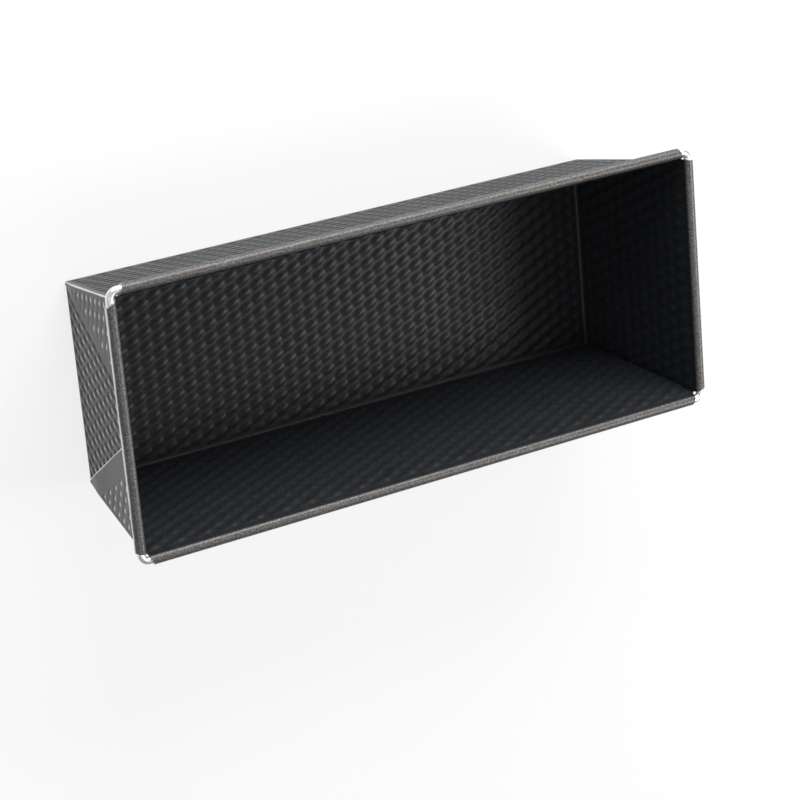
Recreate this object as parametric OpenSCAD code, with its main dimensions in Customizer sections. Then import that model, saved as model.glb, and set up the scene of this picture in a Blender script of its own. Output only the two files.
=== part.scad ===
// Loaf pan folded from one steel blank, with envelope-folded corners and a wired rim.
// The pan stands on its base with the mouth up. X runs along its length, Y across it.
// The origin is at the middle of the base's underside.

/* [Base] */
// Length of the base, over the outside of the sheet
base_l = 274.5; // [200:1:360]
// Width of the base, over the outside of the sheet
base_w = 94.5; // [80:0.5:140]

/* [Mouth] */
// Clear length between the end walls at the rim
mouth_l = 295.5; // [284:0.5:400]
// Clear width between the long walls at the rim
mouth_w = 116.5; // [104:0.5:170]
// Overall height, from the underside to the top of the rim
pan_h = 77; // [60:1:110]

/* [Sheet] */
// Thickness of the steel sheet
sheet_t = 0.6; // [0.5:0.05:1.2]
// Inside radius of the folds round the base
bend_r = 1.4; // [0.6:0.1:3]

/* [Flare] */
// Height of the band under the rim in which the walls turn outwards
flare_h = 16; // [10:1:24]
// How far that band carries the rim outwards on the long walls
flare_side = 1.5; // [0.4:0.1:3]
// How far that band carries the rim outwards on the end walls
flare_end = 0.4; // [0.4:0.1:2]

/* [Rolled rim] */
// Diameter of the wire inside the rim
wire_d = 3.6; // [2:0.1:4]
// Gap between the wire and the sheet rolled round it
wire_clear = 0.05; // [0.02:0.01:0.2]
// Radius of the wire's corner bends, at its centre line
wire_bend_r = 3.6; // [3.4:0.1:9]
// Width of the slit where the wire's two ends meet, inside a long side's roll
wire_slit = 0.6; // [0.2:0.1:2]
// How far round the wire the sheet is rolled, in degrees from the wall
roll_angle = 262; // [200:1:275]
// Length by which a roll's outer side is cut back further than its inner side
roll_slant = 2.6; // [0:0.1:5]

/* [Corner folds] */
// How far the folded layers are pressed into each other and the wall
fold_press = 0.15; // [0.05:0.05:0.3]
// Gap between the top of an ear and the roll above it
ear_gap = 0.2; // [0.1:0.1:2]

/* [Hidden] */
$fn = 96;

wire_r = wire_d / 2;
wire_hole_r = wire_r + wire_clear;
roll_r = wire_hole_r + sheet_t;
rim_z = pan_h - roll_r;
wire_under_z = rim_z - wire_hole_r;
fold_r = bend_r + sheet_t;
far = 10 * pan_h;
reach = 4 * roll_r;
// Flat strips that each curve of the sheet is drawn with
fold_steps = 5;
flare_steps = 4;
roll_steps = 36;

// A wall is [half base, lean, flare turn, flare radius, y and z of the flare's start].
// Its outer face leaves the base's edge at the lean, straight up to the flare's start.
function wall(half_base, half_mouth, flare) =
    let (
        lean = atan((half_mouth + sheet_t - flare - half_base) / rim_z),
        turn = 2 * atan(flare * pow(cos(lean), 2) / flare_h),
        radius = flare_h / cos(lean) / sin(turn),
        start_z = rim_z + (roll_r - sheet_t) * sin(lean + turn)
            - flare_h + flare * cos(lean) * sin(lean)
    )
    [half_base, lean, turn, radius, half_base + start_z * tan(lean), start_z];

side = wall(base_w / 2, mouth_w / 2, flare_side);
end = wall(base_l / 2, mouth_l / 2, flare_end);

function lean(w) = w[1];
function top_lean(w) = w[1] + w[2];
// The direction square to a wall's outer face, where the wall leans by angle
function out_dir(angle) = [cos(angle), -sin(angle)];
function flare_centre(w) = [w[4], w[5]] + w[3] * out_dir(lean(w));
// The centre of the roll, and of the wire in it
function roll_centre(w) = flare_centre(w) - (w[3] - wire_hole_r) * out_dir(top_lean(w));
// The centre of the fold at the base, shared by its inside and its outside
function fold_centre(w) = [w[0] - fold_r * tan((90 - lean(w)) / 2), fold_r];

function arc(centre, radius, from, to, steps) = [
    for (i = [0 : steps])
        let (a = from + (to - from) * i / steps)
        centre + radius * [cos(a), sin(a)]
];
// One face of the sheet, from the base's edge up to the start of the roll.
// depth is 0 for the outer face and sheet_t for the inner face.
function wall_face(w, depth) = concat(
    arc(fold_centre(w), fold_r - depth, -90, -lean(w), fold_steps),
    arc(flare_centre(w), w[3] + depth, 180 - lean(w), 180 - top_lean(w), flare_steps)
);
// The same face, carried on round the wire
function rolled_face(w, depth) = concat(
    wall_face(w, depth),
    arc(roll_centre(w), wire_hole_r + depth, 180 - top_lean(w), 180 - top_lean(w) - roll_angle, roll_steps)
);
function reversed(points) = [for (i = [len(points) - 1 : -1 : 0]) points[i]];
function mirrored(points) = [for (p = points) [-p[0], p[1]]];
function to_hundredth(value) = round(100 * value) / 100;

wire_x = to_hundredth(roll_centre(end)[0]);
wire_y = to_hundredth(roll_centre(side)[0]);
// Distance from the wire's centre line to where the rolls and the wall tops stop short of a corner.
// The wire starts to bend in the end of a roll, as far as the gap round it allows.
corner_cut = wire_bend_r - sqrt(2 * (wire_bend_r - wire_r) * wire_clear - pow(wire_clear, 2));
ear_top_z = rim_z - roll_r - ear_gap;
// The upright edge between two walls, and the angle that each wall has at its foot
corner_edge = [tan(lean(end)), tan(lean(side)), 1];
side_angle = 90 + asin(corner_edge[0] / norm(corner_edge));
end_angle = 90 + asin(corner_edge[1] / norm(corner_edge));
// The crease halves what is left of the flat blank round the foot of that edge
crease_angle = (270 - side_angle - end_angle) / 2;
ear_t = 2 * sheet_t;

// Section of the bent sheet: roll, wall, base, wall and roll
module sheet_section(w) {
    polygon(concat(
        reversed(mirrored(rolled_face(w, 0))),
        rolled_face(w, 0),
        reversed(rolled_face(w, sheet_t)),
        mirrored(rolled_face(w, sheet_t))
    ));
}

// Everything between the outer faces of two facing walls
module filled_section(w) {
    half = concat(wall_face(w, 0), [[wall_face(w, 0)[len(wall_face(w, 0)) - 1][0], 2 * pan_h]]);
    polygon(concat(reversed(mirrored(half)), half));
}

// Draws a section across the pan and runs it along X
module along_x(length) {
    rotate([90, 0, 90]) linear_extrude(length, center = true) children();
}

// Draws a section along the pan and runs it along Y
module along_y(length) {
    rotate([90, 0, 0]) linear_extrude(length, center = true) children();
}

// Base and long walls, cut off at the outer faces of the end walls
module long_walls() {
    intersection() {
        along_x(far) sheet_section(side);
        along_y(far) filled_section(end);
    }
}

// Base and end walls, cut off at the outer faces of the long walls
module end_walls() {
    intersection() {
        along_y(far) sheet_section(end);
        along_x(far) filled_section(side);
    }
}

// Plan of the notch at a corner. It opens outwards, which cuts the ends of the rolls on a slant.
module notch_from(z) {
    x = wire_x - corner_cut;
    y = wire_y - corner_cut;
    slant = roll_slant * (corner_cut + reach) / (corner_cut + roll_r);
    translate([0, 0, z]) linear_extrude(pan_h) polygon([
        [x, y],
        [x + corner_cut + reach, y - slant],
        [x + corner_cut + reach, y + corner_cut + reach],
        [x - slant, y + corner_cut + reach],
    ]);
}

// The blank is notched at each corner of the rim, so that the wire can turn there.
// The walls end just under the wire, and outside them the rolls are cut right through.
module corner_notch() {
    notch_from(wire_under_z);
    difference() {
        notch_from(rim_z - roll_r - ear_gap / 2);
        intersection() {
            along_x(far) filled_section(side);
            along_y(far) filled_section(end);
        }
    }
}

// The spare sheet of a corner, folded double and laid flat on the end wall.
// It is drawn on the end wall's outer face, with y across the pan and z up the wall.
module corner_ear() {
    edge_lean = atan(tan(lean(side)) * cos(lean(end)));
    run = pan_h / cos(lean(end));
    crease = crease_angle - edge_lean;
    foot_z = fold_r * tan((90 - lean(end)) / 2);
    top_z = ear_top_z / cos(lean(end));
    translate([base_l / 2, 0, 0]) rotate([0, lean(end), 0]) intersection() {
        union() {
            // The double layer
            translate([-fold_press, 0, 0]) rotate([90, 0, 90]) linear_extrude(ear_t)
                polygon([
                    [base_w / 2, 0],
                    [base_w / 2 + run, 0],
                    [base_w / 2 + run, run],
                    [base_w / 2 - run * tan(crease), run],
                ]);
            // The rounded crease between the two layers
            translate([ear_t / 2 - fold_press, base_w / 2, 0]) rotate([crease, 0, 0])
                cylinder(r = ear_t / 2, h = run / cos(crease));
        }
        translate([-ear_t, -far / 2, foot_z]) cube([3 * ear_t, far, top_z - foot_z]);
    }
}

// The ears stop at the long walls' outer faces, which fold round into them
module corner_ears() {
    intersection() {
        at_corners() corner_ear();
        along_x(far) filled_section(side);
    }
}

// Draws a thing at the corner of +X and +Y, and mirrored at the other three
module at_corners() {
    for (sx = [0, 1], sy = [0, 1])
        mirror([sx, 0, 0]) mirror([0, sy, 0]) children();
}

// One blank: base, four walls, four rolls and four folded corners
module pan_body() {
    color("#3b3d40") difference() {
        union() {
            long_walls();
            end_walls();
            corner_ears();
        }
        at_corners() corner_notch();
    }
}

// One straight of the wire, along X
module wire_straight(length) {
    rotate([0, 90, 0]) cylinder(r = wire_r, h = length, center = true);
}

// One closed turn of wire in the four rolls, with its two ends meeting on a long side
module rim_wire() {
    half_x = wire_x - wire_bend_r;
    half_y = wire_y - wire_bend_r;
    color("#d9dadb") translate([0, 0, rim_z]) {
        difference() {
            union() {
                for (s = [-1, 1]) {
                    translate([0, s * wire_y, 0]) wire_straight(2 * half_x);
                    translate([s * wire_x, 0, 0]) rotate(90) wire_straight(2 * half_y);
                }
                for (corner = [[1, 1, 0], [-1, 1, 90], [-1, -1, 180], [1, -1, 270]])
                    translate([corner[0] * half_x, corner[1] * half_y, 0]) rotate(corner[2])
                        rotate_extrude(angle = 90) translate([wire_bend_r, 0]) circle(r = wire_r);
            }
            translate([0, wire_y, 0]) cube([wire_slit, 2 * wire_d, 2 * wire_d], center = true);
        }
    }
}

pan_body();
rim_wire();
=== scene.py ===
import math

import bpy
import numpy as np
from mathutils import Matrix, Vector


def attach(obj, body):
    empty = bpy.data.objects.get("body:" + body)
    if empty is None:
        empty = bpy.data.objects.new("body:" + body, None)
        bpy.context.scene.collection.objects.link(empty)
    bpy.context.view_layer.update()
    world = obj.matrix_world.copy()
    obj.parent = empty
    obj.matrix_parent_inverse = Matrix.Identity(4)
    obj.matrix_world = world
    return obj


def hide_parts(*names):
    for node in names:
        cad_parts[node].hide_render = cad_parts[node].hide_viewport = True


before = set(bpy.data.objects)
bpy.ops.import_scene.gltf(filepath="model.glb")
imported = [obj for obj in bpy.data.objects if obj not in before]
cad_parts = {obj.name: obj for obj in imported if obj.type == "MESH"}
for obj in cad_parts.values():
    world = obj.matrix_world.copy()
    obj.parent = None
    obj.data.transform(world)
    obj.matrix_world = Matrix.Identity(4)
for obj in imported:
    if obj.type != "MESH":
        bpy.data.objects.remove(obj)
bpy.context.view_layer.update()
scene = bpy.context.scene


# The base of the pan, with the narrow folds round it where the walls turn up. It is the middle
# of one blank of coated steel sheet, embossed with rows of slanted dimples that keep it stiff,
# and then folded. Sizes are in millimetres, and a pair of them is for X and for Y.
SHEET = 0.6
HEIGHT = 77.0
HALF_BASE = (137.25, 47.25)
HALF_MOUTH = (147.75, 58.25)
FOLD_R = 2.0
# The band under the rim in which a wall turns outwards, and how far it carries the rim out
FLARE_HEIGHT = 16.0
FLARE = (0.4, 1.5)
# The rolled rim, outside the wire in it
WIRE_R = 1.8
WIRE_GAP = 0.05
WIRE_HOLE_R = WIRE_R + WIRE_GAP
ROLL_R = WIRE_HOLE_R + SHEET
RIM_Z = HEIGHT - ROLL_R
# The emboss, as it lies on the flat blank. Every second column is moved by half a point spacing.
COLUMN_SPACING = 6.546
POINT_SPACING = 6.596
FIRST_DIMPLE = (-82.3, 31.4)
DIMPLE_LENGTH = 10.0
DIMPLE_WIDTH = 4.8
DIMPLE_TILT = math.radians(29)
DIMPLE_DEPTH = 0.72
# How blunt a dimple's tip is, as a share of its half size
DIMPLE_TIP = 0.4
# How finely the flat faces and the folds are drawn
GRID_STEP = 0.79
FOLD_STEPS = 7
SHARP_ANGLE = math.radians(38)


def linear(hex_colour):
    """Turns an sRGB hex colour into the linear RGBA that Blender's nodes read."""
    parts = [int(hex_colour[i : i + 2], 16) / 255 for i in (1, 3, 5)]
    return tuple(c / 12.92 if c <= 0.04045 else ((c + 0.055) / 1.055) ** 2.4 for c in parts) + (1,)


def add_node(tree, kind, inputs=None, **settings):
    """Adds a node with its settings. An input is a value, an output, or a node's first output."""
    node = tree.nodes.new(kind)
    for name, value in settings.items():
        setattr(node, name, value)
    for name, value in (inputs or {}).items():
        source = value.outputs[0] if isinstance(value, bpy.types.Node) else value
        if isinstance(source, bpy.types.NodeSocket):
            tree.links.new(source, node.inputs[name])
        else:
            node.inputs[name].default_value = source
    return node


def new_material(name):
    """A material without nodes yet, and its tree."""
    material = bpy.data.materials.new(name)
    material.use_nodes = True
    material.node_tree.nodes.clear()
    return material, material.node_tree


# Satin non-stick coating, sprayed on steel and baked. It is nearly black, with a fine speckle
# of flakes and a slight orange peel. The middles of the hollows outside are painted pale and
# metallic: painted glints. The flat faces outside are a little smoother than those inside.
# Where the sheet was rolled or creased, the coating is stretched thin: it turns brownish. Pale
# lines of uncoated steel are painted on the rolls' outer sides and on the ears' creases and
# edges, partly for wear of the coating and partly as painted highlights. The flakes are drawn
# a few times as coarse as real ones, so that they show.
FLAKE_WIDTH = 0.714
PEEL_WIDTH = 1.92
CLOUD_WIDTH = 22.2


def non_stick_coating():
    material, tree = new_material("satin_non_stick_coating")
    place = add_node(tree, "ShaderNodeTexCoord").outputs["Object"]
    rolled, wear_and_glint, dimple, outside = (
        add_node(tree, "ShaderNodeAttribute", attribute_name=name).outputs["Fac"]
        for name in ("rolled", "wear_and_glint", "dimple", "outside")
    )
    flakes, peel, cloud = (
        add_node(tree, "ShaderNodeTexNoise", {"Vector": place, "Scale": 1000 / width, "Detail": detail})
        for width, detail in ((FLAKE_WIDTH, 2), (PEEL_WIDTH, 1), (CLOUD_WIDTH, 3))
    )
    speckle = add_node(tree, "ShaderNodeMapRange", {"Value": flakes, "From Min": 0.35, "From Max": 0.7})
    # The middles of the hollows outside are painted pale, smooth and metallic: painted glints.
    hollow = add_node(tree, "ShaderNodeMapRange", {"Value": dimple, "From Min": 0.7, "From Max": 0.92})
    painted_glint = add_node(tree, "ShaderNodeMath", {0: hollow, 1: outside}, operation="MULTIPLY")
    painted_glint_share = add_node(tree, "ShaderNodeMath", {0: painted_glint, 1: 0.8}, operation="MULTIPLY")
    # A pale line of uncoated steel, made ragged by the cloud noise: partly wear of the coating, partly a
    # painted highlight.
    rag = {"Value": cloud, "From Min": 0.3, "From Max": 0.7, "To Min": -0.2, "To Max": 0.2}
    ragged = add_node(tree, "ShaderNodeMapRange", rag)
    rub_and_glint = add_node(tree, "ShaderNodeMath", {0: wear_and_glint, 1: ragged}, operation="ADD")
    bare_and_glint = add_node(tree, "ShaderNodeMapRange", {"Value": rub_and_glint, "From Min": 0.3, "From Max": 0.75})

    flat_tone, rolled_tone = (
        add_node(
            tree, "ShaderNodeMix", {0: speckle, 6: linear(dark), 7: linear(pale)}, data_type="RGBA"
        ).outputs[2]
        for dark, pale in (("#191a1c", "#2a2c2f"), ("#484644", "#787573"))
    )
    colour = flat_tone
    # On the flat tone go the rolls' brownish tone, the painted glints, and the pale painted lines that
    # are partly wear and partly painted highlights.
    for share, tone in (
        (rolled, rolled_tone),
        (painted_glint_share, linear("#c0c3c6")),
        (bare_and_glint, linear("#dadcda")),
    ):
        layers = {0: share, 6: colour, 7: tone}
        colour = add_node(tree, "ShaderNodeMix", layers, data_type="RGBA").outputs[2]

    satin = {"Value": cloud, "From Min": 0.3, "From Max": 0.7, "To Min": 0.39, "To Max": 0.45}
    dull = add_node(tree, "ShaderNodeMapRange", satin)
    flat_outside = add_node(
        tree, "ShaderNodeMath", {0: outside, 1: rolled}, operation="SUBTRACT", use_clamp=True
    )
    glint_smoothing = add_node(tree, "ShaderNodeMath", {0: painted_glint, 1: 0.04}, operation="MULTIPLY")
    smoothing = {0: flat_outside, 1: 0.1, 2: glint_smoothing}
    smoother = add_node(tree, "ShaderNodeMath", smoothing, operation="MULTIPLY_ADD")
    rough = add_node(tree, "ShaderNodeMath", {0: dull, 1: smoother}, operation="SUBTRACT")

    # Metal for the painted glints and for the thin coating on the rolls. The painted pale lines are full
    # steel.
    thin = add_node(tree, "ShaderNodeMath", {0: rolled, 1: 0.3}, operation="MULTIPLY")
    sheen = add_node(tree, "ShaderNodeMath", {0: painted_glint, 1: 0.7, 2: thin}, operation="MULTIPLY_ADD")
    metal = add_node(tree, "ShaderNodeMath", {0: sheen, 1: bare_and_glint}, operation="MAXIMUM")

    grain = add_node(tree, "ShaderNodeMath", {0: flakes, 1: peel}, operation="ADD")
    bump = add_node(tree, "ShaderNodeBump", {"Strength": 0.35, "Distance": 0.00006, "Height": grain})
    looks = {"Base Color": colour, "Roughness": rough, "Metallic": metal, "Normal": bump, "IOR": 1.32}
    shader = add_node(tree, "ShaderNodeBsdfPrincipled", looks)
    add_node(tree, "ShaderNodeOutputMaterial", {"Surface": shader})
    return material


def bright_steel(name, line_width, detail, tones, roughness):
    """Steel without a coating, with faint lines that change its tone and its roughness."""
    material, tree = new_material(name)
    place = add_node(tree, "ShaderNodeTexCoord").outputs["Object"]
    pattern = {"Vector": place, "Scale": 1000 / line_width, "Detail": detail}
    lines = add_node(tree, "ShaderNodeTexNoise", pattern)
    span = {"Value": lines, "To Min": roughness[0], "To Max": roughness[1]}
    rough = add_node(tree, "ShaderNodeMapRange", span)
    mixed = {0: lines, 6: linear(tones[0]), 7: linear(tones[1])}
    tone = add_node(tree, "ShaderNodeMix", mixed, data_type="RGBA").outputs[2]
    looks = {"Base Color": tone, "Roughness": rough, "Metallic": 1}
    shader = add_node(tree, "ShaderNodeBsdfPrincipled", looks)
    add_node(tree, "ShaderNodeOutputMaterial", {"Surface": shader})
    return material


COATING = non_stick_coating()
# The cut edge of the sheet. The shear leaves it bare and bright, with fine lines.
CUT_EDGE = bright_steel(
    "sheared_steel_edge", line_width=1.11, detail=2, tones=("#a9abaa", "#c9cbca"), roughness=(0.3, 0.5)
)


def new_tree(name, inputs):
    """A Geometry Nodes tree with named inputs, each with its kind of socket, and their outputs."""
    tree = bpy.data.node_groups.new(name, "GeometryNodeTree")
    tree.interface.new_socket("Geometry", in_out="INPUT", socket_type="NodeSocketGeometry")
    for label, kind in inputs.items():
        tree.interface.new_socket(label, in_out="INPUT", socket_type=kind)
    tree.interface.new_socket("Geometry", in_out="OUTPUT", socket_type="NodeSocketGeometry")
    return tree, add_node(tree, "NodeGroupInput").outputs


def press_tree():
    """Geometry Nodes that press the staggered rows of dimples into a piece of the sheet."""
    sizes = {
        "Spacing": "NodeSocketVector",
        "First Dimple": "NodeSocketVector",
        "Dimple Size": "NodeSocketVector",
        "Tilt": "NodeSocketFloat",
        "Tip": "NodeSocketFloat",
        "Depth": "NodeSocketFloat",
        "Coating": "NodeSocketMaterial",
        "Cut Edge": "NodeSocketMaterial",
    }
    tree, given = new_tree("press_dimples", sizes)
    on_blank, inward, pressed, cut_edge = (
        add_node(tree, "GeometryNodeInputNamedAttribute", {"Name": name}, data_type=kind)
        for name, kind in (
            ("on_blank", "FLOAT_VECTOR"),
            ("inward", "FLOAT_VECTOR"),
            ("pressed", "FLOAT"),
            ("cut_edge", "BOOLEAN"),
        )
    )
    spacing = given["Spacing"]
    # From a dimple to the nearest in the next column, and back
    stagger = add_node(tree, "ShaderNodeVectorMath", {0: spacing, 1: (1, 0.5, 0)}, operation="MULTIPLY")
    back = add_node(tree, "ShaderNodeVectorMath", {0: spacing, 1: (-1, -0.5, 0)}, operation="MULTIPLY")
    half_size = add_node(
        tree, "ShaderNodeVectorMath", {0: given["Dimple Size"], "Scale": 0.5}, operation="SCALE"
    )
    # A dimple's height falls from 1 in its middle to 0 at its foot, as a cone with a rounded tip
    tip = add_node(tree, "ShaderNodeCombineXYZ", {"Z": given["Tip"]})
    at_foot = add_node(tree, "ShaderNodeCombineXYZ", {"X": 1, "Z": given["Tip"]})
    foot = add_node(tree, "ShaderNodeVectorMath", {0: at_foot}, operation="LENGTH").outputs["Value"]
    heights = {}
    for shift in (0, 1):
        moved = {0: stagger, 1: (shift, shift, 0), 2: given["First Dimple"]}
        centre = add_node(tree, "ShaderNodeVectorMath", moved, operation="MULTIPLY_ADD")
        away = add_node(tree, "ShaderNodeVectorMath", {0: on_blank, 1: centre}, operation="SUBTRACT")
        near = add_node(tree, "ShaderNodeVectorMath", {0: away, 1: stagger, 2: back}, operation="WRAP")
        straight = add_node(
            tree,
            "ShaderNodeVectorRotate",
            {"Vector": near, "Angle": given["Tilt"]},
            rotation_type="Z_AXIS",
            invert=True,
        )
        share = add_node(tree, "ShaderNodeVectorMath", {0: straight, 1: half_size}, operation="DIVIDE")
        rounded = add_node(tree, "ShaderNodeVectorMath", {0: share, 1: tip}, operation="ADD")
        slope = add_node(tree, "ShaderNodeVectorMath", {0: rounded}, operation="LENGTH").outputs["Value"]
        fall = {"Value": slope, "From Min": given["Tip"], "From Max": foot, "To Min": 1, "To Max": 0}
        heights[shift] = add_node(tree, "ShaderNodeMapRange", fall)
    highest = add_node(tree, "ShaderNodeMath", heights, operation="MAXIMUM")
    height = add_node(tree, "ShaderNodeMath", {0: highest, 1: pressed}, operation="MULTIPLY")
    stored = add_node(
        tree,
        "GeometryNodeStoreNamedAttribute",
        {"Geometry": given["Geometry"], "Name": "dimple", "Value": height},
        data_type="FLOAT",
        domain="POINT",
    )
    depth = add_node(tree, "ShaderNodeMath", {0: height, 1: given["Depth"]}, operation="MULTIPLY")
    dent = add_node(tree, "ShaderNodeVectorMath", {0: inward, "Scale": depth}, operation="SCALE")
    dented = add_node(tree, "GeometryNodeSetPosition", {"Geometry": stored, "Offset": dent})
    real = add_node(tree, "GeometryNodeRealizeInstances", {"Geometry": dented})
    coat = {"Geometry": real, "Material": given["Coating"]}
    coated = add_node(tree, "GeometryNodeSetMaterial", coat)
    edge = {"Geometry": coated, "Selection": cut_edge, "Material": given["Cut Edge"]}
    edged = add_node(tree, "GeometryNodeSetMaterial", edge)
    add_node(tree, "NodeGroupOutput", {"Geometry": edged})
    return tree


PRESS = press_tree()


def add_object(name, data):
    """An object at the origin, in the scene."""
    new_object = bpy.data.objects.new(name, data)
    scene.collection.objects.link(new_object)
    return new_object


def form_with(tree, piece, inputs):
    """Forms a piece with a Geometry Nodes tree, and leaves the result as its plain mesh."""
    modifier = piece.modifiers.new(tree.name, "NODES")
    modifier.node_group = tree
    sockets = {s.name: s.identifier for s in tree.interface.items_tree if s.in_out == "INPUT"}
    for name, value in inputs.items():
        modifier[sockets[name]] = value
    formed = piece.evaluated_get(bpy.context.evaluated_depsgraph_get())
    mesh = bpy.data.meshes.new_from_object(formed)
    piece.modifiers.remove(modifier)
    piece.data = mesh
    mesh.shade_smooth()
    mesh.set_sharp_from_angle(angle=SHARP_ANGLE)


def closed_sheet(name, outer, inner, on_blank, pressed, rolled=0.0, wear_and_glint=0.0, kept=None):
    """A closed piece of the sheet, from matching grids of points on its two faces.

    on_blank is each point's place on the flat blank. pressed and rolled say how strongly each
    point is so, the share after them how pale its coating is painted, partly for wear and partly
    as a painted highlight, and kept says which cells of the grid are metal.
    """
    rows, columns = outer.shape[:2]
    count = rows * columns
    kept = np.ones((rows - 1, columns - 1), bool) if kept is None else kept
    ids = np.arange(count).reshape(rows, columns)
    a, b, c, d = ids[:-1, :-1], ids[:-1, 1:], ids[1:, 1:], ids[1:, :-1]
    faces = [np.stack([a, b, c, d], -1)[kept], np.stack([a, d, c, b], -1)[kept] + count]
    padded = np.pad(kept, 1)
    for beyond, start, end in (
        (padded[:-2, 1:-1], a, b),
        (padded[1:-1, 2:], b, c),
        (padded[2:, 1:-1], c, d),
        (padded[1:-1, :-2], d, a),
    ):
        faces.append(np.stack([end, start, start + count, end + count], -1)[kept & ~beyond])
    flat_faces = len(faces[0]) + len(faces[1])
    faces = np.concatenate(faces)
    points = np.concatenate([outer.reshape(-1, 3), inner.reshape(-1, 3)]) / 1000
    first, second, third, fourth = np.moveaxis(points[faces], 1, 0)
    if (first * (np.cross(second, third) + np.cross(third, fourth))).sum() < 0:
        faces = faces[:, ::-1]
    used = np.zeros(len(points), bool)
    used[faces] = True
    mesh = bpy.data.meshes.new(name)
    mesh.from_pydata(points[used].tolist(), [], (np.cumsum(used) - 1)[faces].tolist())

    inward = (inner - outer) / np.linalg.norm(inner - outer, axis=-1, keepdims=True)
    vectors = {"inward": inward, "on_blank": np.stack(np.broadcast_arrays(*on_blank, 0.0), -1)}
    for field, values in vectors.items():
        both = np.concatenate([values.reshape(-1, 3)] * 2)[used].ravel()
        attribute = mesh.attributes.new(field, "FLOAT_VECTOR", "POINT")
        attribute.data.foreach_set("vector", both.astype(np.float32))
    shares = {"pressed": [pressed] * 2, "rolled": [rolled] * 2, "wear_and_glint": [wear_and_glint] * 2, "outside": [1, 0]}
    for field, on_faces in shares.items():
        both = np.concatenate([np.broadcast_to(share, (rows, columns)).ravel() for share in on_faces])
        attribute = mesh.attributes.new(field, "FLOAT", "POINT")
        attribute.data.foreach_set("value", both[used].astype(np.float32))
    attribute = mesh.attributes.new("cut_edge", "BOOLEAN", "FACE")
    attribute.data.foreach_set("value", np.arange(len(faces)) >= flat_faces)
    return add_object(name, mesh)


def press(piece, first_dimple=FIRST_DIMPLE, depth=DIMPLE_DEPTH):
    """Presses the dimples into a piece of the sheet, and puts it in the frame."""
    inputs = {
        "Spacing": (COLUMN_SPACING, POINT_SPACING, 0.0),
        "First Dimple": (*first_dimple, 0.0),
        "Dimple Size": (DIMPLE_LENGTH, DIMPLE_WIDTH, 1.0),
        "Tilt": DIMPLE_TILT,
        "Tip": DIMPLE_TIP,
        "Depth": depth / 1000,
        "Coating": COATING,
        "Cut Edge": CUT_EDGE,
    }
    form_with(PRESS, piece, inputs)
    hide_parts("pan_body")
    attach(piece, "root")


def wall_line(half_base, half_mouth, flare):
    """How a wall runs, seen along it: it leans out, flares and then rolls round the wire."""
    lean = math.atan((half_mouth + SHEET - flare - half_base) / RIM_Z)
    turn = 2 * math.atan(flare * math.cos(lean) ** 2 / FLARE_HEIGHT)
    radius = FLARE_HEIGHT / math.cos(lean) / math.sin(turn)
    top = lean + turn
    start_z = RIM_Z + (ROLL_R - SHEET) * math.sin(top) - FLARE_HEIGHT
    start_z += flare * math.cos(lean) * math.sin(lean)
    start = Vector((half_base + start_z * math.tan(lean), start_z))
    centre = start + radius * Vector((math.cos(lean), -math.sin(lean)))
    return {
        "half_base": half_base,
        "lean": lean,
        "top_lean": top,
        "start": start,
        "flare_r": radius,
        "flare_centre": centre,
        "roll_centre": centre - (radius - WIRE_HOLE_R) * Vector((math.cos(top), -math.sin(top))),
        "fold_centre": Vector((half_base - FOLD_R * math.tan((math.pi / 2 - lean) / 2), FOLD_R)),
    }


END_LINE, SIDE_LINE = (wall_line(*sizes) for sizes in zip(HALF_BASE, HALF_MOUTH, FLARE))


def smooth(value):
    """Rises softly from 0 to 1 as the value does."""
    value = np.clip(value, 0, 1)
    return value * value * (3 - 2 * value)


def clear_of(distance, margin, fade):
    """How fully the dimples are pressed at a distance from an edge: not at all within the margin."""
    return smooth((distance - margin) / fade)


def base_line(line):
    """Places across the base to the top of its folds, with their heights, for the two faces."""
    flat = line["fold_centre"][0]
    angles = np.linspace(-math.pi / 2, -line["lean"], FOLD_STEPS + 1)[1:]
    inside = np.linspace(-flat, flat, round(2 * flat / GRID_STEP) + 1)
    faces = []
    for radius in (FOLD_R, FOLD_R - SHEET):
        place = flat + radius * np.cos(angles)
        height = FOLD_R + radius * np.sin(angles)
        low = np.full(len(inside), FOLD_R - radius)
        places = np.concatenate([-place[::-1], inside, place])
        faces.append((places, np.concatenate([height[::-1], low, height])))
    return faces


def make_base():
    grids = []
    for (x, x_height), (y, y_height) in zip(base_line(END_LINE), base_line(SIDE_LINE)):
        grid = np.zeros((len(x), len(y), 3))
        grid[..., 0] = x[:, None]
        grid[..., 1] = y[None, :]
        grid[..., 2] = np.maximum(x_height[:, None], y_height[None, :])
        grids.append(grid)
    outer, inner = grids
    x, y = outer[..., 0], outer[..., 1]
    from_end = END_LINE["fold_centre"][0] - np.abs(x)
    from_side = SIDE_LINE["fold_centre"][0] - np.abs(y)
    pressed = clear_of(np.minimum(from_end, from_side), margin=0.5, fade=2.5)
    press(closed_sheet("pan_base", outer, inner, (x, y), pressed))


make_base()


# The two long walls. Each leans outwards and flares a little under the rim, and its top is
# rolled outwards round the wire. At the corners the blank was notched, so the roll stops
# short on a slant and the wire shows.
ROLL_ANGLE = math.radians(262)
ROLL_STEPS = 28
# Where the rolls and wall tops stop short of a corner, measured from the wire's centre lines
CORNER_CUT = 3.18
CUT_AT = tuple(line["roll_centre"][0] - CORNER_CUT for line in (END_LINE, SIDE_LINE))
NOTCH_Z = RIM_Z - WIRE_HOLE_R
# The rows of the grid from the notch up to the roll, and its columns beyond the rolls' ends
NOTCH_ROWS = 3
STRIP_COLUMNS = 4
# How far the dimples run on above the notch
PRESSED_PAST_NOTCH = 1.5
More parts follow.
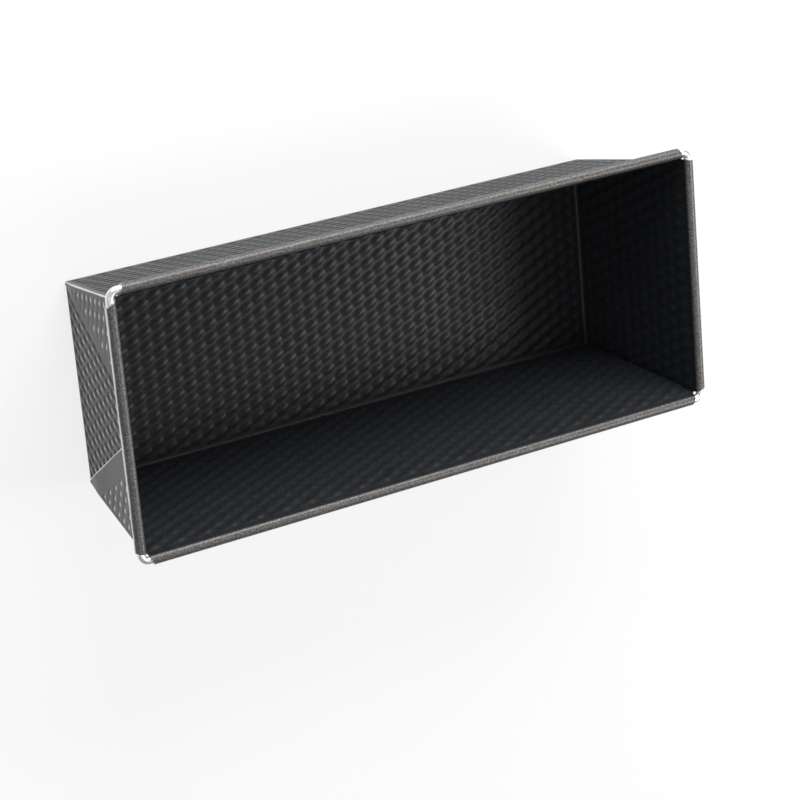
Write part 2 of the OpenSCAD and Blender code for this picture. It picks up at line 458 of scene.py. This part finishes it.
# Over how many radians of the roll the coating takes on its look, and where on the roll's outer
# side a pale line of uncoated steel is painted, partly for wear and partly as a painted highlight
ROLL_ONSET = 0.5
RUB_GLINT_ANGLE = math.radians(182)
RUB_GLINT_WIDTH = math.radians(34)


def outer_at(line, z):
    """How far out a wall's outer face is at height z."""
    straight = line["half_base"] + z * math.tan(line["lean"])
    rise = np.clip(z - line["flare_centre"][1], 0, line["flare_r"])
    curved = line["flare_centre"][0] - np.sqrt(line["flare_r"] ** 2 - rise**2)
    return np.where(z > line["start"][1], curved, straight)


def wall_rows(line):
    """The points of a wall's two faces, row by row up the wall and round its roll.

    With them come each row's place on the blank, how far it is turned round the wire, and the
    row at which the notch starts.
    """
    lean, top = line["lean"], line["top_lean"]
    foot_z = FOLD_R * (1 - math.sin(lean))
    rise = line["start"][1] - foot_z
    heights = np.linspace(foot_z, line["start"][1], round(rise / GRID_STEP) + 1)[:-1]
    straight = np.stack([line["half_base"] + heights * math.tan(lean), heights], -1)
    outer = [straight]
    normals = [np.broadcast_to((math.cos(lean), -math.sin(lean)), straight.shape)]
    notch_angle = math.pi - math.asin((NOTCH_Z - line["flare_centre"][1]) / line["flare_r"])
    flare_rows = round(FLARE_HEIGHT / GRID_STEP) + 1 - NOTCH_ROWS
    under = np.linspace(math.pi - lean, notch_angle, flare_rows)
    above = np.linspace(notch_angle, math.pi - top, NOTCH_ROWS + 1)[1:]
    roll = np.linspace(math.pi - top, math.pi - top - ROLL_ANGLE, ROLL_STEPS + 1)[1:]
    for centre, radius, angles in (
        (line["flare_centre"], line["flare_r"], np.concatenate([under, above])),
        (line["roll_centre"], WIRE_HOLE_R, roll),
    ):
        direction = np.stack([np.cos(angles), np.sin(angles)], -1)
        outer.append(np.array(centre) + radius * direction)
        normals.append(-direction)
    outer, normals = np.concatenate(outer), np.concatenate(normals)
    inner = outer - SHEET * normals
    steps = np.linalg.norm(np.diff((outer + inner) / 2, axis=0), axis=1)
    foot = line["fold_centre"][0] + (FOLD_R - SHEET / 2) * (math.pi / 2 - lean)
    place = foot + np.concatenate([[0], np.cumsum(steps)])
    turned = np.zeros(len(outer))
    turned[-ROLL_STEPS:] = math.pi - top - roll
    return outer, inner, place, turned, len(heights) + len(under) - 1


def bell(value, middle, width):
    """Rises to 1 at the middle, and falls away softly on both sides."""
    return np.exp(-(((value - middle) / width) ** 2))


def make_wall(name, axis, sign, slants, rub_and_glint, short_by=0.0, first_dimple=FIRST_DIMPLE):
    """A wall with its roll. axis is 1 for a long wall, which runs along X, and 0 for an end wall.

    slants says how much further the roll's outer side is cut back at its two ends, and the pair
    after it how pale a line of uncoated steel is painted on the roll's outer side there, partly
    for wear and partly as a painted highlight. short_by is how far the wall ends inside its
    neighbours' outer faces.
    """
    line, neighbour = ((END_LINE, SIDE_LINE), (SIDE_LINE, END_LINE))[axis]
    outer_row, inner_row, place, turned, notch_row = wall_rows(line)
    cut_at, cut_from = CUT_AT[1 - axis], CUT_AT[axis]
    half_top = outer_at(neighbour, outer_row[notch_row, 1]) - short_by
    share = cut_at / half_top
    main = np.linspace(-share, share, round(2 * half_top / GRID_STEP) + 1)
    strip = np.linspace(share, 1, STRIP_COLUMNS + 1)[1:]
    shares = np.concatenate([-strip[::-1], main, strip])
    grids = []
    for row in (outer_row, inner_row):
        below = outer_at(neighbour, row[:, 1]) - short_by
        outwards = np.clip(row[:, 0] - cut_from, 0, None) / (CORNER_CUT + ROLL_R)
        grid = np.zeros((len(row), len(shares), 3))
        for end, slant in zip((shares < 0, shares >= 0), slants):
            half = np.where(np.arange(len(row)) <= notch_row, below, (cut_at - slant * outwards) / share)
            grid[:, end, 1 - axis] = half[:, None] * shares[end]
        grid[..., axis] = sign * row[:, None, 0]
        grid[..., 2] = row[:, None, 1]
        grids.append(grid)
    outer, inner = grids
    kept = np.ones((len(place) - 1, len(shares) - 1), bool)
    kept[notch_row:, :STRIP_COLUMNS] = False
    kept[notch_row:, -STRIP_COLUMNS:] = False
    run = outer[..., 1 - axis]
    up = sign * place[:, None]
    side_room = np.abs(run[:, -1:]) - np.abs(run)
    up_room = np.minimum(place - place[0], place[notch_row] - place + PRESSED_PAST_NOTCH)[:, None]
    pressed = clear_of(side_room, margin=0.6, fade=2.2) * clear_of(up_room, margin=0.8, fade=2.6)
    along = (run - run.min()) / (run.max() - run.min())
    rub_and_glint_along = rub_and_glint[0] + (rub_and_glint[1] - rub_and_glint[0]) * along
    piece = closed_sheet(
        name,
        outer,
        inner,
        on_blank=(run, up) if axis else (up, run),
        pressed=pressed,
        rolled=smooth(turned / ROLL_ONSET)[:, None],
        # The roll's outer side gets a pale painted line, partly wear and partly a painted highlight.
        wear_and_glint=rub_and_glint_along * bell(turned[:, None], RUB_GLINT_ANGLE, RUB_GLINT_WIDTH),
        kept=kept,
    )
    press(piece, first_dimple)


make_wall("long_wall_left", axis=1, sign=1, slants=(3.0, 2.4), rub_and_glint=(0.1, 0.1))
make_wall("long_wall_right", axis=1, sign=-1, slants=(2.4, 2.6), rub_and_glint=(0.2, 0.1))


# The two end walls, folded up from the same blank between the long walls and rolled over
# the same wire. Their outsides carry the folded ears.
END_WALL = {"axis": 0, "short_by": SHEET / 2}
# The rows on the front wall are a little out of line with those of the base
FRONT_WALL = {**END_WALL, "first_dimple": (-191.96, -9.78)}
# The front wall's roll carries the palest painted line on its outer side: mostly a painted highlight,
# partly wear.
make_wall("end_wall_front", sign=-1, slants=(1.6, 3.6), rub_and_glint=(0.9, 1.2), **FRONT_WALL)
make_wall("end_wall_back", sign=1, slants=(2.4, 1.2), rub_and_glint=(0.2, 0.3), **END_WALL)


# The folded corners. The spare sheet between two walls was doubled and laid flat on the end
# wall's outside, like the flap of an envelope. Each ear is two layers, with a rounded bend at
# the upright edge and a pressed crease on its slanted side. Pale lines of uncoated steel are
# painted along the crease and the edge, partly for wear of the coating and partly as painted
# highlights.
EAR_THICK = 1.05
# The ear gets thinner over this height at its foot, down to this share
FOOT_TAPER = 14.0
FOOT_THICK_SHARE = 0.35
EAR_GAP = 0.2
EAR_TOP_Z = RIM_Z - ROLL_R - EAR_GAP
# The ear's hidden face is pressed into the wall. It stops short of the edge, and passes the crease.
EAR_PRESS = 0.15
SHORT_OF_EDGE = 0.05
PAST_CREASE = 0.3
# The bend at the upright edge, which is tighter where the ear is narrow
EDGE_BEND_R = 0.9
EDGE_BEND_SHARE = 0.45
CREASE_R = 0.6
BEND_STEPS = 6
# How far round the crease its pale painted line lies, and both lines' widths, in columns of
# the grid. Both lines are partly wear and partly painted highlights.
CREASE_LINE_SHARE = 0.4
EDGE_LINE_WIDTH = BEND_STEPS / 3
CREASE_LINE_WIDTH = BEND_STEPS / 2.2
EDGE_LEAN = math.atan(math.tan(SIDE_LINE["lean"]) * math.cos(END_LINE["lean"]))
# The dimples of an ear are flatter, because its second layer backs them
EAR_DIMPLE_DEPTH = 0.34
# How far the rows on an ear are moved down the blank
EAR_SHIFT = 1.2


def make_ear(name, x_sign, y_sign, crease, plain, crease_wear_and_glint, edge_wear_and_glint):
    """An ear, from the upright edge between two walls to its crease.

    crease is the angle between the two, in degrees, and plain is the width of the strip without
    dimples beside the crease. The last two say how pale the lines on the crease and on the edge
    are painted, partly for wear of the coating and partly as painted highlights.
    """
    lean = END_LINE["lean"]
    foot_z = FOLD_R * (1 - math.sin(lean))
    z = np.linspace(foot_z, EAR_TOP_Z, round((EAR_TOP_Z - foot_z) / GRID_STEP) + 1)[:, None]
    up = z / math.cos(lean)
    crease_lean = math.radians(crease) - EDGE_LEAN
    edge = outer_at(SIDE_LINE, z)
    crease_at = HALF_BASE[1] - up * math.tan(crease_lean)
    crease_wide = CREASE_R / math.cos(crease_lean)
    bend = np.minimum(EDGE_BEND_R, EDGE_BEND_SHARE * (edge - crease_at))
    taper = FOOT_THICK_SHARE + (1 - FOOT_THICK_SHARE) * smooth((z - foot_z) / FOOT_TAPER)
    thick = EAR_THICK * taper
    flat_columns = round((edge - crease_at)[-1, 0] / GRID_STEP)
    bend_angles = np.linspace(0, math.pi / 2, BEND_STEPS + 1)
    flat_shares = np.linspace(0, 1, flat_columns + 1)[1:]
    crease_angles = np.linspace(math.pi / 2, 1.5 * math.pi, 2 * BEND_STEPS + 1)[1:]
    across = (
        edge,
        edge - bend * (1 - np.cos(bend_angles)),
        (edge - bend) * (1 - flat_shares) + crease_at * flat_shares,
        crease_at + crease_wide * np.cos(crease_angles),
    )
    depth = (
        np.full_like(z, -EAR_PRESS),
        thick - np.minimum(bend, thick) * (1 - np.sin(bend_angles)),
        np.repeat(thick, flat_columns, axis=1),
        (thick - EAR_PRESS) / 2 + (thick + EAR_PRESS) / 2 * np.sin(crease_angles),
    )
    across, depth = np.hstack(across), np.hstack(depth)
    spread = np.linspace(0, 1, across.shape[1])
    under = (edge - SHORT_OF_EDGE) * (1 - spread) + (crease_at - PAST_CREASE) * spread

    def on_wall(across, depth):
        grid = np.zeros(across.shape + (3,))
        grid[..., 0] = x_sign * (outer_at(END_LINE, z) + depth * math.cos(lean))
        grid[..., 1] = y_sign * across
        grid[..., 2] = z - depth * math.sin(lean)
        return grid

    columns = np.arange(across.shape[1])
    edge_column = 1 + BEND_STEPS / 2
    crease_column = 1 + BEND_STEPS + flat_columns + CREASE_LINE_SHARE * BEND_STEPS
    edge_line = bell(columns, edge_column, EDGE_LINE_WIDTH)
    crease_line = bell(columns, crease_column, CREASE_LINE_WIDTH)
    from_edge = edge - across
    from_crease = (across - crease_at) * math.cos(crease_lean)
    pressed = clear_of(from_edge, margin=1.2, fade=1.8) * clear_of(from_crease, margin=plain, fade=2.5)
    pressed *= clear_of(EAR_TOP_Z - z, margin=0.8, fade=2.0)
    piece = closed_sheet(
        name,
        outer=on_wall(across, depth),
        inner=on_wall(under, -EAR_PRESS),
        on_blank=(x_sign * (HALF_BASE[0] + from_edge), y_sign * (HALF_BASE[1] - EAR_SHIFT + up)),
        pressed=pressed,
        wear_and_glint=edge_wear_and_glint * edge_line + crease_wear_and_glint * crease_line,
    )
    press(piece, depth=EAR_DIMPLE_DEPTH)


# The pale lines on the ears are partly wear and partly painted highlights. The first ear's crease and
# the second ear's edge are painted brightest.
make_ear("corner_ear_1", -1, -1, crease=36.5, plain=9.0, crease_wear_and_glint=1.4, edge_wear_and_glint=0.35)
make_ear("corner_ear_2", -1, 1, crease=33.0, plain=3.5, crease_wear_and_glint=0.45, edge_wear_and_glint=1.0)
make_ear("corner_ear_3", 1, -1, crease=35.0, plain=5.0, crease_wear_and_glint=0.7, edge_wear_and_glint=0.6)
make_ear("corner_ear_4", 1, 1, crease=36.0, plain=7.0, crease_wear_and_glint=0.9, edge_wear_and_glint=0.6)


# The rim wire, one turn of bright drawn steel in the four rolls. Its ends meet inside the
# roll of a long wall, and it shows where it turns the corners.
WIRE_BEND_R = 3.6
WIRE_SLIT = 0.6
WIRE_SIDES = 32
CORNER_STEPS = 16
# Bright wire, drawn through a die. It is smooth, with faint lines.
BRIGHT_WIRE = bright_steel(
    "bright_drawn_wire", line_width=1.43, detail=3, tones=("#eaebeb", "#f4f5f4"), roughness=(0.38, 0.45)
)


def wire_tree():
    """Geometry Nodes that sweep the wire's round section along its path."""
    sizes = {"Radius": "NodeSocketFloat", "Sides": "NodeSocketInt", "Steel": "NodeSocketMaterial"}
    tree, given = new_tree("sweep_wire", sizes)
    path = add_node(tree, "GeometryNodeMeshToCurve", {"Mesh": given["Geometry"]})
    circle = {"Resolution": given["Sides"], "Radius": given["Radius"]}
    section = add_node(tree, "GeometryNodeCurvePrimitiveCircle", circle)
    sweep = {"Curve": path, "Profile Curve": section, "Fill Caps": True}
    swept = add_node(tree, "GeometryNodeCurveToMesh", sweep)
    real = add_node(tree, "GeometryNodeRealizeInstances", {"Geometry": swept})
    finish = {"Geometry": real, "Material": given["Steel"]}
    finished = add_node(tree, "GeometryNodeSetMaterial", finish)
    add_node(tree, "NodeGroupOutput", {"Geometry": finished})
    return tree


def make_wire():
    half_x, half_y = (round(line["roll_centre"][0], 2) for line in (END_LINE, SIDE_LINE))
    bend_x, bend_y = half_x - WIRE_BEND_R, half_y - WIRE_BEND_R
    bends = ((bend_x, bend_y), (bend_x, -bend_y), (-bend_x, -bend_y), (-bend_x, bend_y))
    path = [(WIRE_SLIT / 2, half_y)]
    for turn, (x, y) in enumerate(bends):
        for degrees in np.linspace(90 - 90 * turn, -90 * turn, CORNER_STEPS + 1):
            angle = math.radians(degrees)
            path.append((x + WIRE_BEND_R * math.cos(angle), y + WIRE_BEND_R * math.sin(angle)))
    path.append((-WIRE_SLIT / 2, half_y))
    mesh = bpy.data.meshes.new("rim_wire_bright")
    points = [(x / 1000, y / 1000, RIM_Z / 1000) for x, y in path]
    mesh.from_pydata(points, [(i, i + 1) for i in range(len(points) - 1)], [])
    wire = add_object("rim_wire_bright", mesh)
    sizes = {"Radius": WIRE_R / 1000, "Sides": WIRE_SIDES, "Steel": BRIGHT_WIRE}
    form_with(wire_tree(), wire, sizes)
    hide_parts("rim_wire")
    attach(wire, "root")


make_wire()


# The studio: white paper on the floor, a dim pale room and five soft boxes, in metres. A small
# box above the far end draws the streaks on the dimples inside, a long one beside the pan
# whitens the floor, and a narrow one above the pan lights the rolls.
FLOOR_REACH = 6
FLOOR_DROP = 0.0001
# How much of the paper's white, as the camera and reflections see it, is its own glow
FLOOR_GLOW = 0.8
AIM_HEIGHT = 0.04


def white_paper():
    """White paper, which is white to the camera and in reflections, and keeps the pan's shadow."""
    material, tree = new_material("white_paper_floor")
    rays = add_node(tree, "ShaderNodeLightPath").outputs
    seen = rays["Is Camera Ray"]
    for kind in ("Is Glossy Ray", "Is Transmission Ray"):
        both = {0: seen, 1: rays[kind]}
        seen = add_node(tree, "ShaderNodeMath", both, operation="ADD", use_clamp=True).outputs[0]
    share = add_node(tree, "ShaderNodeMath", {0: seen, 1: FLOOR_GLOW}, operation="MULTIPLY")
    paper = add_node(tree, "ShaderNodeBsdfDiffuse", {"Color": linear("#f4f4f4")})
    glow = add_node(tree, "ShaderNodeEmission", {"Color": linear("#ffffff"), "Strength": 1.0})
    shader = add_node(tree, "ShaderNodeMixShader", {0: share, 1: paper, 2: glow})
    add_node(tree, "ShaderNodeOutputMaterial", {"Surface": shader})
    return material


def make_floor():
    mesh = bpy.data.meshes.new("floor")
    signs = ((-1, -1), (1, -1), (1, 1), (-1, 1))
    corners = [(x * FLOOR_REACH, y * FLOOR_REACH, -FLOOR_DROP) for x, y in signs]
    mesh.from_pydata(corners, [], [(0, 1, 2, 3)])
    mesh.materials.append(white_paper())
    add_object("floor", mesh)


def soft_box(name, direction, distance, width, height, power):
    """A soft box that looks at the middle of the pan."""
    lamp = bpy.data.lights.new(name, "AREA")
    lamp.shape = "RECTANGLE"
    lamp.size = width
    lamp.size_y = height
    lamp.energy = power
    box = add_object(name, lamp)
    towards = Vector(direction).normalized()
    box.location = towards * distance + Vector((0, 0, AIM_HEIGHT))
    box.rotation_euler = towards.to_track_quat("Z", "Y").to_euler()


make_floor()
soft_box("top_soft_box", (0.70, -0.22, 0.68), distance=1.4, width=0.5, height=0.5, power=9)
soft_box("corner_soft_box", (-0.22, -0.30, 0.93), distance=1.4, width=0.4, height=0.4, power=2)
soft_box("fill_soft_box", (-0.75, 0.10, 0.65), distance=1.6, width=1.0, height=1.0, power=3)
soft_box("side_soft_box", (0.20, 0.88, 0.42), distance=1.6, width=1.4, height=0.8, power=34)
soft_box("rim_soft_box", (0.47, 0.13, 0.87), distance=1.5, width=0.9, height=0.2, power=0.8)

room = bpy.data.worlds.new("pale_room")
room.use_nodes = True
room.node_tree.nodes["Background"].inputs["Color"].default_value = linear("#f2f3f4")
room.node_tree.nodes["Background"].inputs["Strength"].default_value = 0.2
scene.world = room
scene.view_settings.view_transform = "Standard"

# The camera is above one corner. Its turn, in degrees, makes the pan lie slanted in the picture.
CAMERA_PLACE = (-0.609238, 0.37971, 1.102192)
CAMERA_TURN = (-15.729, -31.5264, -5.6783)
camera_data = bpy.data.cameras.new("camera")
camera_data.lens = 126
camera_data.sensor_width = 36
camera_data.clip_start = 0.05
camera_data.clip_end = 40
camera = add_object("camera", camera_data)
camera.location = CAMERA_PLACE
camera.rotation_euler = [math.radians(degrees) for degrees in CAMERA_TURN]
scene.camera = camera
